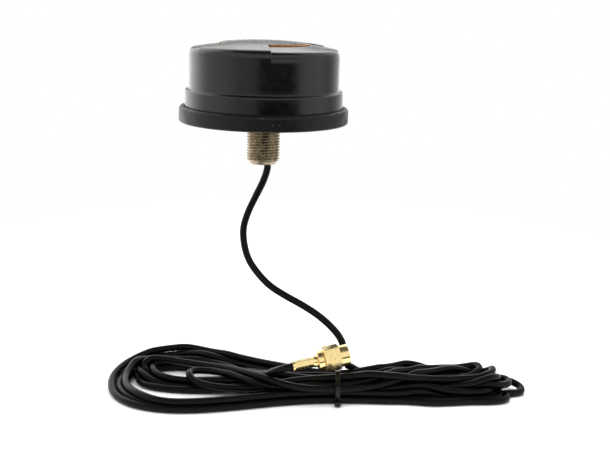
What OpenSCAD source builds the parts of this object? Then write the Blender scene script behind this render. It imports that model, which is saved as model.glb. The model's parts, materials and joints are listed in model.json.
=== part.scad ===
// Puck-shaped satellite positioning antenna: domed radome on a rubber base ring, hollow threaded
// stud, coaxial lead wound into a tied hank, and a gold-plated screw-on plug.
// Millimetres, +Z up. The origin is on the stud axis, in the plane that the base ring seats on.

/* [Radome] */
// Diameter of the domed part
dome_d = 53; // [52:0.5:54]
// Diameter of the skirt below the ledge
skirt_d = 56; // [55.5:0.5:57]
// Height of the ledge above the seat
skirt_top = 11.4; // [10:0.2:13]
// Height of the dome's middle above the seat
dome_top = 28.6; // [28.4:0.1:30]
// Radius of the shallow crown
crown_r = 140; // [120:5:160]
// Radius of the shoulder between crown and side
shoulder_r = 2.8; // [2.5:0.1:3.4]
// Wall thickness
wall = 2.2; // [1.8:0.1:2.4]
// Angle that each of the two raised lobes spans
lobe_angle = 64; // [40:2:80]
// Azimuth of the first lobe's middle, seen from above
lobe_azimuth = 245; // [0:5:355]
// Radius of the raised middle of the top
hub_r = 15; // [12:0.5:17]
// Depth of the two shallow pockets between the lobes
pocket_depth = 0.5; // [0.4:0.1:0.8]

/* [Base ring] */
// Diameter of the rubber base ring
flange_d = 60; // [59:0.5:64]
// Height of the rubber base ring
flange_h = 5.5; // [5:0.1:7]
// Thickness of rubber under the base plate
gasket_floor = 2; // [2:0.1:2.4]
// Inner diameter of the seating face
seat_inner_d = 34; // [32:0.5:36]

/* [Stud] */
// Thread major diameter
stud_d = 12; // [12:0.5:13]
// Thread pitch
stud_pitch = 1; // [0.8:0.1:1.2]
// Length of the stud below the seat
stud_len = 15; // [14:0.5:22]
// Bore through the stud
stud_bore = 7; // [6.4:0.1:7.6]
// Diameter of the shoulder under the base plate
collar_d = 14.8; // [14:0.2:16]

/* [Antenna element] */
// Side of the square ceramic patch
patch_w = 25; // [20:0.5:25]
// Thickness of the ceramic patch
patch_h = 4; // [3:0.5:4]
// Diameter of the circuit board
pcb_d = 36; // [35.6:0.1:36]
// Height of the circuit board's underside above the seat
pcb_z = 14; // [13.8:0.1:14.4]

/* [Cable] */
// Diameter of the coaxial cable
cable_d = 2.55; // [2.5:0.05:2.6]
// Height of the hank
hank_h = 9.6; // [9:0.1:9.6]
// Distance from the seat down to the surface that the hank lies on
hank_drop = 92.2; // [92.2:0.1:95]

/* [Plug] */
// Width of the coupling nut across flats
nut_af = 8; // [8:0.1:8.4]
// Rise of the plug's axis, in degrees
plug_rise = 9.5; // [8:0.5:10]
// Turn of the plug's axis about +Z, in degrees
plug_turn = 13; // [11:0.5:15]
// Roll of the plug about its own axis, in degrees
plug_roll = -5; // [-15:1:15]

/* [Hidden] */
$fn = 96;

dome_r = dome_d / 2;
skirt_r = skirt_d / 2;
flange_r = flange_d / 2;
stud_r = stud_d / 2;
cable_r = cable_d / 2;

// The shoulder arc is tangent to the side and, from inside, to the crown.
crown_z = dome_top - crown_r;
function arc_height(edge_r, arc_r, big_r) =
    crown_z + sqrt(pow(big_r - arc_r, 2) - pow(edge_r - arc_r, 2));
function arc_lean(edge_r, arc_r, big_r) = acos((edge_r - arc_r) / (big_r - arc_r));
function arc(x, z, r, from, to, steps) =
    [for (i = [0:steps]) let (a = from + (to - from) * i / steps) [x + r * cos(a), z + r * sin(a)]];
// Side, shoulder and crown of a dome, from the top of its side in to a radius.
function dome_curve(edge_r, arc_r, big_r, to_r) = concat(
    arc(edge_r - arc_r, arc_height(edge_r, arc_r, big_r), arc_r, 0, arc_lean(edge_r, arc_r, big_r), 8),
    arc(0, crown_z, big_r, arc_lean(edge_r, arc_r, big_r), acos(to_r / big_r), 8)
);

ledge_r = 0.8;
rim_z = gasket_floor;
cavity_r = skirt_r - wall - 1.5;
inner_r = dome_r - wall;
inner_arc_r = 4;
pocket_arc_r = 2;
pocket_edge = 0.12;
pocket_foot = 23.8;
accent_angle = 78;
pocket_angle = 180 - lobe_angle;
pocket_starts = [lobe_azimuth + lobe_angle / 2, lobe_azimuth + lobe_angle / 2 + 180];

plate_r = cavity_r - 0.3;
plate_top = rim_z + 3;
boss_at = 20.8;
boss_r = 2.4;
boss_bottom = plate_top + 0.1;
boss_top = 20;
post_at = 15.3;
post_r = 2;
seal_r = 0.6;
seal_z = rim_z + 1.5;
base_screw_r = 1.1;
base_screw_head_r = 1.9;
base_screw_len = 9;
pcb_screw_r = 0.9;
pcb_screw_head_r = 1.7;

thread_top = -1.6;
thread_root_r = stud_r - 0.61 * stud_pitch;
thread_turns = floor((stud_len - 2) / stud_pitch);
crest = 0.12 * stud_pitch;
stud_top = plate_top + 4;
stud_seat_r = stud_r - 0.9;
grommet_end = -8;
grommet_lip = 1.2;
stud_nut_af = 14;
stud_nut_h = 3;

pcb_h = 1.2;
tape_h = 0.2;
electrode_h = 0.1;
patch_z = pcb_z + pcb_h + tape_h;
electrode_z = patch_z + patch_h;
electrode_top = electrode_z + electrode_h;
feed_at = [0, 2.6];
feed_r = 0.45;
feed_foot = pcb_z - 0.8;
feed_head_h = 0.4;
foam_w = 16;
foam_z = electrode_top + feed_head_h + 0.05;
foam_top = dome_top - wall - 1.8;
chip_w = 2;
chip_h = 0.8;
filter_w = 3;
filter_h = 1.2;
can_size = [10, 16, 3];
can_at = [-12.5, -8];
can_wall = 0.3;
jacket_top = 12.4;
bare_core = 1;

hank_z = -hank_drop;
waist_back = -19;
waist_front = -37;
tie_x = 28.4;
tie_w = 1.8;
tie_t = 0.9;

// Middle of the coupling nut's hexagon, and the direction that the plug points in.
plug_at = [26, -30, -77.3];
plug_axis = [cos(plug_rise) * cos(plug_turn), cos(plug_rise) * sin(plug_turn), sin(plug_rise)];
// Places along the plug's axis, from the middle of the nut's hexagon.
ferrule_back = -13.8;
tail_end = -12.4;
collar_back = -5;
collar_front = -2.9;
insulator_back = -3.5;
groove_back = -1.9;
groove_front = -1.3;
face_at = -0.8;
barrel_front = 3.2;
hex_half = 2.8;
nut_front = 6;
// Radii of the plug's pieces.
stem_r = 1.15;
core_r = 0.48;
body_collar_r = 3.35;
neck_r = 2.95;
groove_r = 2.65;
barrel_r = 2.28;
insulator_r = 2.03;
contact_r = 0.6;
pin_r = 0.46;
spin_gap = 0.07;
nut_ring_r = 3.75;
nut_crest_r = 2.9;
nut_root_r = 3.2;
nut_pitch = 0.7;

// Route of the lead, from the grommet down to the hank.
lead_route = [
    [0, 0, grommet_end], [0, 0, -9.5], [0.7, 0, -12], [1.6, 0, -14.6], [1.6, -0.5, -17],
    [0.2, -1.5, -21.5], [-2.4, -2.5, -27], [-4.9, -3.5, -32.5], [-6.4, -4.5, -38], [-6.1, -5.5, -43.5],
    [-4.3, -7, -49], [-0.9, -9, -53.5], [3.8, -11.5, -57.5], [9.5, -13.5, -60.5], [15.6, -15.5, -63.2],
    [21.2, -17.5, -66.2], [25.9, -19, -69.8], [29.2, -20, -73.6], [30.7, -20.6, -77.4],
    [31.2, -20.8, -80.6], [32, -20.8, -83.2], [34.2, -20.8, -85.2], [38.5, -20.8, -86]
];

// Route of the tail, from the hank up to the plug's ferrule.
tail_route = [
    [-2, -22, -88], [0, -24, -87], [3, -28, -85], [6, -31.5, -82.3],
    plug_at + (tail_end - 4) * plug_axis, plug_at + tail_end * plug_axis
];

module turn(points) rotate_extrude() polygon(points);

module ring(outer, inner, low, high) {
    difference() {
        translate([0, 0, low]) cylinder(r = outer, h = high - low);
        translate([0, 0, low - 1]) cylinder(r = inner, h = high - low + 2);
    }
}

// A hexagonal bar along +Z, with two flats facing +X and -X.
module hex_bar(across_flats, low, high)
    translate([0, 0, low]) rotate([0, 0, 30])
        cylinder(d = across_flats / cos(30), h = high - low, $fn = 6);

module at_plug()
    translate(plug_at) rotate([0, 90 - plug_rise, plug_turn]) rotate([0, 0, plug_roll]) children();

module around(count, radius, first = 0)
    for (i = [0:count - 1]) rotate([0, 0, first + i * 360 / count]) translate([radius, 0, 0]) children();

// One closed tube of round section through a list of points.
function unit(v) = v / norm(v);
function heading(path, i) = unit(path[min(i + 1, len(path) - 1)] - path[max(i - 1, 0)]);
function side_of(t) = unit(cross(t, [0.2, 1, 0.1]));
function tube_ring(path, i, r, n) =
    let (t = heading(path, i), a = side_of(t), b = cross(t, a))
    [for (k = [0:n - 1]) path[i] + r * (cos(360 * k / n) * a + sin(360 * k / n) * b)];
module tube(path, r, n = 8) {
    rings = len(path);
    points = [for (i = [0:rings - 1]) each tube_ring(path, i, r, n)];
    sides = [
        for (i = [0:rings - 2]) for (k = [0:n - 1])
            let (a = i * n + k, b = i * n + (k + 1) % n) [a, a + n, b + n, b]
    ];
    start = [for (k = [0:n - 1]) k];
    end = [for (k = [n - 1:-1:0]) (rings - 1) * n + k];
    polyhedron(points = points, faces = concat(sides, [start, end]), convexity = 4);
}

// Outside of the radome: skirt, ledge, side, shoulder and crown, without the pockets.
module radome_outside() {
    turn(concat(
        [[0, rim_z], [skirt_r, rim_z]],
        arc(skirt_r - ledge_r, skirt_top - ledge_r, ledge_r, 0, 90, 6),
        [[dome_r + 0.6, skirt_top]],
        arc(dome_r + 0.6, skirt_top + 0.6, 0.6, 270, 180, 4),
        dome_curve(dome_r, shoulder_r, crown_r, 0)
    ));
}

module radome_pockets() {
    low_crown = crown_r - pocket_depth;
    for (start = pocket_starts) rotate([0, 0, start]) rotate_extrude(angle = pocket_angle) polygon(concat(
        [[dome_r + 4, pocket_foot], [dome_r - pocket_edge, pocket_foot]],
        dome_curve(dome_r - pocket_edge, pocket_arc_r, low_crown, hub_r),
        [[hub_r, dome_top + 4], [dome_r + 4, dome_top + 4]]
    ));
}

module radome() {
    color("#26282a")
    difference() {
        union() {
            difference() {
                radome_outside();
                radome_pockets();
                turn(concat(
                    [[0, rim_z - 1], [cavity_r, rim_z - 1], [cavity_r, skirt_top - 2]],
                    dome_curve(inner_r, inner_arc_r, crown_r - wall - pocket_depth, 0)
                ));
            }
            intersection() {
                union() {
                    around(4, boss_at, 45) translate([0, 0, boss_bottom])
                        cylinder(r = boss_r, h = boss_top - boss_bottom, $fn = 48);
                    around(4, boss_at, 45) translate([0, -0.8, boss_bottom + 2])
                        cube([5, 1.6, boss_top - boss_bottom - 2]);
                }
                cylinder(r = inner_r + 0.4, h = boss_top);
            }
        }
        around(4, boss_at, 45) translate([0, 0, boss_bottom - 1])
            cylinder(r = base_screw_r, h = base_screw_len - 1, $fn = 48);
    }
}

// Two thin orange arcs laid in the pocket floors, round the raised middle.
module accent_arcs() {
    arc_in = hub_r + 0.25;
    arc_out = hub_r + 0.95;
    floor_z = crown_z + sqrt(pow(crown_r - pocket_depth, 2) - pow(arc_in, 2));
    color("#c8742a")
    for (start = pocket_starts) rotate([0, 0, start + 2]) rotate_extrude(angle = accent_angle)
        translate([arc_in, floor_z + 0.01]) square([arc_out - arc_in, 0.25]);
}

module base_gasket() {
    edge = 1.3;
    foot = 0.7;
    color("#1d1f20")
    turn(concat(
        [[seat_inner_d / 2 + 0.4, 0]],
        arc(flange_r - foot, foot, foot, 270, 360, 5),
        arc(flange_r - edge, flange_h - edge, edge, 0, 90, 8),
        [[skirt_r + 0.25, flange_h], [skirt_r + 0.02, flange_h - 0.5], [skirt_r + 0.02, gasket_floor],
         [seat_inner_d / 2, gasket_floor], [seat_inner_d / 2, 0.4]]
    ));
}

module base_plate() {
    color("#8c8f92")
    difference() {
        union() {
            translate([0, 0, rim_z]) cylinder(r = plate_r, h = plate_top - rim_z);
            around(4, post_at) translate([0, 0, plate_top - 1])
                cylinder(r = post_r, h = pcb_z - plate_top + 1, $fn = 48);
        }
        translate([0, 0, rim_z - 1]) cylinder(r = stud_seat_r + 0.05, h = 6);
        ring(stud_r + 1.25, stud_seat_r - 0.5, rim_z - 1, rim_z + 1);
        ring(plate_r + 1, plate_r - 1, seal_z - seal_r - 0.1, seal_z + seal_r + 0.1);
        around(4, boss_at, 45) {
            translate([0, 0, rim_z - 1]) cylinder(r = base_screw_r + 0.2, h = 6, $fn = 48);
            translate([0, 0, rim_z - 1]) cylinder(r = base_screw_head_r + 0.1, h = 2.5, $fn = 48);
        }
        around(4, post_at) translate([0, 0, pcb_z - 5]) cylinder(r = pcb_screw_r, h = 6, $fn = 48);
    }
}

module housing_seal() {
    color("#3a3d40")
    rotate_extrude() translate([plate_r - 0.35, seal_z]) circle(r = seal_r, $fn = 32);
}

module pan_screw(head_r, head_h, shank_r, shank_len) {
    difference() {
        union() {
            translate([0, 0, -head_h]) cylinder(r = head_r, h = head_h, $fn = 48);
            cylinder(r = shank_r, h = shank_len, $fn = 48);
        }
        for (a = [0, 90]) rotate([0, 0, a]) translate([-head_r * 0.6, -head_r * 0.13, -head_h - 1])
            cube([head_r * 1.2, head_r * 0.26, 1.6]);
    }
}

module base_screws() {
    color("#b8b8b4")
    around(4, boss_at, 45) translate([0, 0, rim_z + 1.5])
        pan_screw(base_screw_head_r, 1.4, base_screw_r, base_screw_len - 2);
}

module stud() {
    collar_r = collar_d / 2;
    lands = [
        for (i = [0:thread_turns - 1]) let (z = thread_top - i * stud_pitch)
            each [[thread_root_r, z], [stud_r, z - 0.5 * stud_pitch + crest / 2],
                  [stud_r, z - 0.5 * stud_pitch - crest / 2]]
    ];
    thread_end = thread_top - thread_turns * stud_pitch;
    color("#b09a78")
    difference() {
        turn(concat(
            [[0, stud_top], [stud_seat_r - 0.5, stud_top], [stud_seat_r, stud_top - 0.5],
             [stud_seat_r, rim_z], [collar_r, rim_z], [collar_r, 0.3],
             [stud_r + 0.1, -0.8], [thread_root_r, -0.9]],
            lands,
            [[thread_root_r, thread_end], [stud_r - 0.7, thread_end - 0.3],
             [stud_r - 1.1, -stud_len], [0, -stud_len]]
        ));
        translate([0, 0, -stud_len - 1]) cylinder(d = stud_bore, h = stud_top + stud_len + 2);
        translate([0, 0, -stud_len - 0.01])
            cylinder(d1 = stud_bore + 1.2, d2 = stud_bore, h = 0.6);
    }
}

module stud_seal() {
    color("#3a3d40")
    rotate_extrude() translate([stud_r + 0.65, rim_z + 0.5]) circle(r = 0.48, $fn = 32);
}

module stud_nut() {
    color("#b09a78")
    difference() {
        intersection() {
            hex_bar(stud_nut_af, plate_top, plate_top + stud_nut_h);
            turn([[0, plate_top], [stud_nut_af / 2 + 0.3, plate_top],
                  [stud_nut_af / 2 + 1.1, plate_top + 0.6],
                  [stud_nut_af / 2 + 1.1, plate_top + stud_nut_h - 0.6],
                  [stud_nut_af / 2 + 0.3, plate_top + stud_nut_h], [0, plate_top + stud_nut_h]]);
        }
        cylinder(r = stud_seat_r + 0.02, h = stud_top + 2);
    }
}

module stud_grommet() {
    color("#2b2d2f")
    difference() {
        union() {
            translate([0, 0, grommet_end]) cylinder(d = stud_bore, h = stud_top - grommet_end);
            translate([0, 0, stud_top]) cylinder(r = stud_bore / 2 + grommet_lip, h = grommet_lip);
        }
        translate([0, 0, grommet_end - 1])
            cylinder(r = cable_r, h = stud_top - grommet_end + 4, $fn = 48);
    }
}

module pcb() {
    color("#1f5a3a")
    difference() {
        translate([0, 0, pcb_z]) cylinder(d = pcb_d, h = pcb_h);
        around(4, post_at) translate([0, 0, pcb_z - 1]) cylinder(r = pcb_screw_r + 0.15, h = 4, $fn = 48);
        translate([feed_at.x, feed_at.y, pcb_z - 1]) cylinder(r = feed_r, h = 4, $fn = 32);
    }
}

module pcb_screws() {
    color("#b8b8b4")
    around(4, post_at) translate([0, 0, pcb_z + pcb_h]) rotate([180, 0, 0])
        pan_screw(pcb_screw_head_r, 1.2, pcb_screw_r, 4.5);
}

module shield_can() {
    color("#c9ccce")
    difference() {
        translate([can_at.x, can_at.y, pcb_z - can_size.z]) cube(can_size);
        translate([can_at.x + can_wall, can_at.y + can_wall, pcb_z - can_size.z + can_wall])
            cube([can_size.x - 2 * can_wall, can_size.y - 2 * can_wall, can_size.z]);
    }
}

module lna_chip() {
    color("#202020")
    translate([-8.5, -1, pcb_z - chip_h]) cube([chip_w, chip_w, chip_h]);
}

module saw_filters() {
    color("#c8b070")
    for (y = [-5.5, 2.5]) translate([-9, y, pcb_z - filter_h])
        cube([filter_w, filter_w, filter_h]);
}

module chip_passives() {
    size = [1, 0.6, 0.5];
    color("#a08060")
    for (i = [0:5]) translate([4 + 2.2 * (i % 3), -4 + 7 * floor(i / 3), pcb_z - size.z])
        cube(size);
}

module patch_block(z, width, height) {
    difference() {
        translate([-width / 2, -width / 2, z]) cube([width, width, height]);
        translate([feed_at.x, feed_at.y, z - 1]) cylinder(r = feed_r, h = height + 2, $fn = 32);
    }
}

module patch_tape() {
    color("#e6e2d4")
    patch_block(pcb_z + pcb_h, patch_w - 1, tape_h);
}

module patch_ceramic() {
    color("#d9cdb8")
    patch_block(patch_z, patch_w, patch_h);
}

module patch_electrode() {
    color("#d8d8d8")
    patch_block(electrode_z, patch_w - 4, electrode_h);
}

module feed_pin() {
    color("#c9a24a")
    translate([feed_at.x, feed_at.y, 0]) union() {
        translate([0, 0, feed_foot]) cylinder(r = feed_r, h = electrode_top - feed_foot, $fn = 32);
        translate([0, 0, electrode_top]) cylinder(r = 1.3, h = feed_head_h, $fn = 32);
    }
}

module foam_pad() {
    color("#4a4a4c")
    translate([-foam_w / 2, -foam_w / 2, foam_z]) cube([foam_w, foam_w, foam_top - foam_z]);
}

module cable_inner() {
    color("#1a1a1a")
    translate([0, 0, grommet_end]) cylinder(r = cable_r, h = jacket_top - grommet_end, $fn = 48);
}

module braid_ferrule() {
    color("#c9a24a")
    ring(cable_r + 0.5, cable_r, jacket_top - 1.8, jacket_top);
}

module cable_core() {
    color("#e8e4da")
    union() {
        translate([0, 0, jacket_top]) cylinder(r = 0.75, h = bare_core, $fn = 32);
        translate([0, 0, jacket_top + bare_core])
            cylinder(r = 0.25, h = pcb_z - jacket_top - bare_core, $fn = 32);
    }
}

module cable_lead() {
    color("#1a1a1a")
    tube(lead_route, cable_r);
}

module cable_tail() {
    color("#1a1a1a")
    tube(tail_route, cable_r);
}

// A slab across the hank at the tie, drawn in by a margin on all four sides.
module tie_section(margin, width) {
    translate([tie_x - width / 2, waist_front + margin, hank_z + margin])
        cube([width, waist_back - waist_front - 2 * margin, hank_h - 2 * margin]);
}

// Wide open loops at the left, a waist where the tie is, and tight folds at the right.
module cable_hank() {
    groove_left = tie_x - tie_w / 2;
    groove_right = tie_x + tie_w / 2;
    color("#1a1a1a")
    union() {
        translate([0, 0, hank_z]) linear_extrude(hank_h) union() {
            translate([-28.5, -22.5]) circle(r = 25.5);
            polygon([
                [-28.5, 3], [-12, -1], [18, waist_back], [groove_left, waist_back],
                [groove_left, waist_front], [18, waist_front], [-10, -44.5], [-28.5, -48]
            ]);
        }
        tie_section(tie_t, tie_w + 2);
        translate([0, 0, hank_z]) linear_extrude(hank_h) union() {
            polygon([
                [groove_right, waist_front], [38, waist_front], [88, -35.7],
                [88, -16.3], [38, waist_back], [groove_right, waist_back]
            ]);
            translate([88, -26]) circle(r = 9.7);
        }
    }
}

module cable_tie() {
    head = [3.4, 3, 3];
    color("#141414")
    union() {
        difference() {
            tie_section(0, tie_w);
            tie_section(tie_t, tie_w + 2);
        }
        translate([tie_x - head.x / 2, waist_front - head.y, hank_z + 0.2]) cube(head);
    }
}

// Crimped to a hexagon over the braid, with a round mouth at each end.
module plug_ferrule() {
    color("#e0b850")
    at_plug() difference() {
        union() {
            translate([0, 0, ferrule_back]) cylinder(r = 1.85, h = 1, $fn = 48);
            hex_bar(3.3, ferrule_back + 0.8, collar_back - 1.2);
            translate([0, 0, collar_back - 1.4]) cylinder(r = 2, h = 1.4, $fn = 48);
        }
        translate([0, 0, ferrule_back - 1]) cylinder(r = cable_r + 0.03, h = 20, $fn = 48);
    }
}

module plug_body() {
    edge = 0.25;
    color("#e0b850")
    at_plug() difference() {
        turn([
            [0, tail_end], [stem_r, tail_end], [stem_r, collar_back],
            [body_collar_r - edge, collar_back], [body_collar_r, collar_back + edge],
            [body_collar_r, collar_front - edge], [body_collar_r - edge, collar_front],
            [neck_r, collar_front], [neck_r, groove_back], [groove_r, groove_back],
            [groove_r, groove_front], [neck_r, groove_front], [neck_r, face_at],
            [barrel_r, face_at], [barrel_r, barrel_front], [0, barrel_front]
        ]);
        translate([0, 0, tail_end - 1]) cylinder(r = core_r + 0.02, h = 12, $fn = 32);
        translate([0, 0, insulator_back]) cylinder(r = insulator_r + 0.02, h = 8, $fn = 48);
    }
}

module plug_core() {
    color("#e8e4da")
    at_plug() translate([0, 0, tail_end]) cylinder(r = core_r, h = insulator_back - tail_end, $fn = 32);
}

module plug_insulator() {
    color("#f2f0ea")
    at_plug() difference() {
        translate([0, 0, insulator_back])
            cylinder(r = insulator_r, h = barrel_front - insulator_back, $fn = 48);
        translate([0, 0, insulator_back - 1]) cylinder(r = contact_r + 0.02, h = 9, $fn = 32);
    }
}

module plug_contact() {
    color("#e0b850")
    at_plug() turn([
        [0, insulator_back], [contact_r, insulator_back], [contact_r, barrel_front],
        [pin_r, barrel_front], [pin_r, 4.7], [0.16, 5.3], [0, 5.3]
    ]);
}

module plug_snap_ring() {
    color("#b8902c")
    at_plug() difference() {
        ring(3.2, groove_r + 0.05, groove_back + 0.08, groove_front - 0.08);
        translate([0, -0.4, groove_back - 1]) cube([5, 0.8, 3]);
    }
}

module plug_gasket() {
    color("#b8402c")
    at_plug() ring(nut_crest_r - 0.05, barrel_r + 0.02, face_at + 0.01, face_at + 0.6);
}

module plug_nut() {
    corner_r = nut_af / 2 + 0.65;
    thread_start = 0.8;
    grooves = [
        for (i = [0:6]) let (z = thread_start + nut_pitch * i)
            each [[nut_crest_r, z], [nut_crest_r, z + 0.1], [nut_root_r, z + 0.4]]
    ];
    color("#e0b850")
    at_plug() difference() {
        union() {
            intersection() {
                hex_bar(nut_af, -hex_half, hex_half);
                turn([[0, -hex_half], [nut_af / 2, -hex_half], [corner_r, -hex_half + 0.4],
                      [corner_r, hex_half - 0.4], [nut_af / 2, hex_half], [0, hex_half]]);
            }
            turn([[0, hex_half - 0.5], [nut_ring_r, hex_half - 0.5], [nut_ring_r, nut_front - 0.25],
                  [nut_ring_r - 0.25, nut_front], [0, nut_front]]);
        }
        translate([0, 0, -4]) cylinder(r = neck_r + spin_gap, h = 5, $fn = 64);
        translate([0, 0, groove_back - 0.1]) cylinder(r = nut_root_r + 0.1, h = 0.8, $fn = 64);
        turn(concat(
            [[0, -0.4], [nut_root_r + 0.05, -0.4], [nut_root_r + 0.05, thread_start - 0.2]],
            grooves,
            [[nut_root_r + 0.1, nut_front + 1], [0, nut_front + 1]]
        ));
    }
}

radome();
accent_arcs();
base_gasket();
base_plate();
housing_seal();
base_screws();
stud();
stud_seal();
stud_nut();
stud_grommet();
pcb();
pcb_screws();
shield_can();
lna_chip();
saw_filters();
chip_passives();
patch_tape();
patch_ceramic();
patch_electrode();
feed_pin();
foam_pad();
cable_inner();
braid_ferrule();
cable_core();
cable_lead();
cable_hank();
cable_tie();
cable_tail();
plug_ferrule();
plug_body();
plug_core();
plug_insulator();
plug_contact();
plug_snap_ring();
plug_gasket();
plug_nut();
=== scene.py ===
import json
import math

import bmesh
import bpy
import numpy as np
from mathutils import Matrix, Vector


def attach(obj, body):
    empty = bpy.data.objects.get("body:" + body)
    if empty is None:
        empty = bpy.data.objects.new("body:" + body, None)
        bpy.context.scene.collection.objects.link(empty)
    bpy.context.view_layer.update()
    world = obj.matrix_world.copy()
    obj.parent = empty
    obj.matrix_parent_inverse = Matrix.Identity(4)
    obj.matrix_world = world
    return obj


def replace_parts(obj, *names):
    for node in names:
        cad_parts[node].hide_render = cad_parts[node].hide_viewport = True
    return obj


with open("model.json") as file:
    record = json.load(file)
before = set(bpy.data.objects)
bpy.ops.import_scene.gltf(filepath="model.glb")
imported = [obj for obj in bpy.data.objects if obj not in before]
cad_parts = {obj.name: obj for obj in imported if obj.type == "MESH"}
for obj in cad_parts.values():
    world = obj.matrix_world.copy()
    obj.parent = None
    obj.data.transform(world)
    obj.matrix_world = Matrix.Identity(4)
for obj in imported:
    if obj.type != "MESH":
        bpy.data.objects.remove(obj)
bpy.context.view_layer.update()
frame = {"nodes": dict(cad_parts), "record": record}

MM = 0.001


# ---------------------------------------------------------------- camera
LENS_MM = 59.0
SENSOR_MM = 36.0
CAMERA_AT = Vector((0.0157, -0.355, 0.04575))
CAMERA_DOWN = math.radians(13.2)
CAMERA_ROLL = math.radians(1.5)

camera_data = bpy.data.cameras.new("camera")
camera_data.lens = LENS_MM
camera_data.sensor_width = SENSOR_MM
camera_data.clip_start = 0.01
camera = bpy.data.objects.new("camera", camera_data)
camera.matrix_world = (
    Matrix.Translation(CAMERA_AT)
    @ Matrix.Rotation(math.pi / 2 - CAMERA_DOWN, 4, "X")
    @ Matrix.Rotation(CAMERA_ROLL, 4, "Z")
)
bpy.context.scene.collection.objects.link(camera)
bpy.context.scene.camera = camera


# ---------------------------------------------------------------- plug axis
# The plug lies on the hank: its axis rises to the right and turns away from the front.
PLUG_AT = Vector((26, -30, -77.3)) * MM
PLUG_RISE = math.radians(9.5)
PLUG_TURN = math.radians(13)
PLUG_FRAME = (
    Matrix.Translation(PLUG_AT)
    @ Matrix.Rotation(PLUG_TURN, 4, "Z")
    @ Matrix.Rotation(math.pi / 2 - PLUG_RISE, 4, "Y")
)
PLUG_AXIS = np.array(PLUG_FRAME.to_3x3() @ Vector((0, 0, 1)))
# The hexagons stand a little rolled back about the plug's axis.
NUT_ROLL = Matrix.Rotation(math.radians(-5), 4, "Z")
TAIL_END = -12.4 * MM


# ---------------------------------------------------------------- cable
CABLE_D = 2.55 * MM
CABLE_R = CABLE_D / 2
FLOOR_Z = -92.2 * MM
TIE_X = 28.4 * MM

# The lead's route, from the grommet down to the hank.
LEAD = np.array([
    (0, 0, -0.008), (0, 0, -0.0095), (0.0007, 0, -0.012), (0.0016, 0, -0.0146),
    (0.0016, -0.0005, -0.017), (0.0002, -0.0015, -0.0215), (-0.0024, -0.0025, -0.027),
    (-0.0049, -0.0035, -0.0325), (-0.0064, -0.0045, -0.038), (-0.0061, -0.0055, -0.0435),
    (-0.0043, -0.007, -0.049), (-0.0009, -0.009, -0.0535), (0.0038, -0.0115, -0.0575),
    (0.0095, -0.0135, -0.0605), (0.0156, -0.0155, -0.0632), (0.0212, -0.0175, -0.0662),
    (0.0259, -0.019, -0.0698), (0.0292, -0.02, -0.0736), (0.0307, -0.0206, -0.0774),
    (0.0312, -0.0208, -0.0806), (0.032, -0.0208, -0.0832), (0.0342, -0.0208, -0.0852),
    (0.0385, -0.0208, -0.086),
])
# The tail's route, from the hank up into the plug's ferrule.
TAIL = np.array([
    (-0.002, -0.022, -0.088), (0, -0.024, -0.087), (0.003, -0.028, -0.085), (0.006, -0.0315, -0.0823),
    tuple(np.array(PLUG_AT) + (TAIL_END - 0.004) * PLUG_AXIS),
    tuple(np.array(PLUG_AT) + TAIL_END * PLUG_AXIS),
])

# Heights of the strands: layers on the floor, and rows where the tie squeezes them.
LAYER_STEP = 2.2 * MM
LAYER = [FLOOR_Z + CABLE_R + k * LAYER_STEP for k in range(3)]
ROW = [-90.25 * MM, -88.05 * MM, -85.85 * MM, -83.7 * MM]


def turn(right, front_slot, left, back_slot, via=None):
    """One turn of the hank, in mm.

    Each end is (tip x, front y, front z, back y, back z), each slot at the tie is (y, z), and via holds
    the points from the left end's back to the tie, where they aren't a plain slope.
    """
    return right, front_slot, left, back_slot, via


F1, F2, F3 = (z / MM for z in LAYER)
R1, R2, R3, R4 = (z / MM for z in ROW)
# Two strands on top cross from the back of the left loops to the front of the tie.
UPPER_CROSSING = [
    (-30, -13, -86), (-20, -16, -85.5), (-10, -21.5, -85), (-3, -27.5, -84.4),
    (3, -32, -84.2), (9, -35, -84.8), (16, -35.4, -85.5),
]
LOWER_CROSSING = [
    (-15, -20.5, -86.4), (-8, -25, -86.6), (0, -30.5, -87), (9, -33, -86.8), (18, -32.4, -86),
]
TURNS = [
    turn((87.5, -29.8, F1, -22.0, F1), (-33.8, R1), (-51.0, -45.4, F1, -1.2, F3), (-21.8, R3)),
    turn((94.8, -24.6, F1, -16.8, F2), (-32.5, R2), (-45.8, -44.4, F2, -3.4, F2), (-19.6, R2)),
    turn((86.5, -27.2, F1, -19.4, F1), (-31.2, R1), (-48.4, -42.8, F1, 0.8, F1), (-20.8, R1)),
    turn((84.0, -28.5, F2, -20.7, F2), (-29.9, R2), (-47.2, -40.2, F1, -1.8, F1), (-23.4, R1)),
    turn((90.3, -25.9, F2, -18.1, F2), (-28.6, R1), (-43.5, -25.0, F1, -1.6, F2), (-22.1, R2)),
    turn((86.0, -27.2, F3, -19.6, F3), (-27.3, R2), (-42.5, -22.4, F1, -4.4, F1), (-24.2, R3)),
    turn((89.0, -23.3, F2, -15.5, F2), (-29.1, R3), (-41.5, -27.8, F1, -5.5, F1), (-26.0, R1)),
    turn(
        (85.0, -24.6, F3, -16.8, F1), (-26.6, R3),
        (-43.4, -19.6, F1, -12.0, F3), (-34.3, R3), UPPER_CROSSING,
    ),
    turn(
        (85.6, -24.5, F3, -18.2, F3), (-30.4, R4),
        (-24.8, -29.0, F2, -18.8, F3), (-31.7, R3), LOWER_CROSSING,
    ),
    turn((81.0, -22.0, F3, -15.0, F3), (-24.7, R2), (-40.0, -24.0, F2, -5.5, F2), None),
]
# The last turn's way from the back of the hank to the tail.
APPROACH = [(-24, -4.6, F2), (-14, -8.5, F2), (-7, -15.5, F2)]

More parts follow.
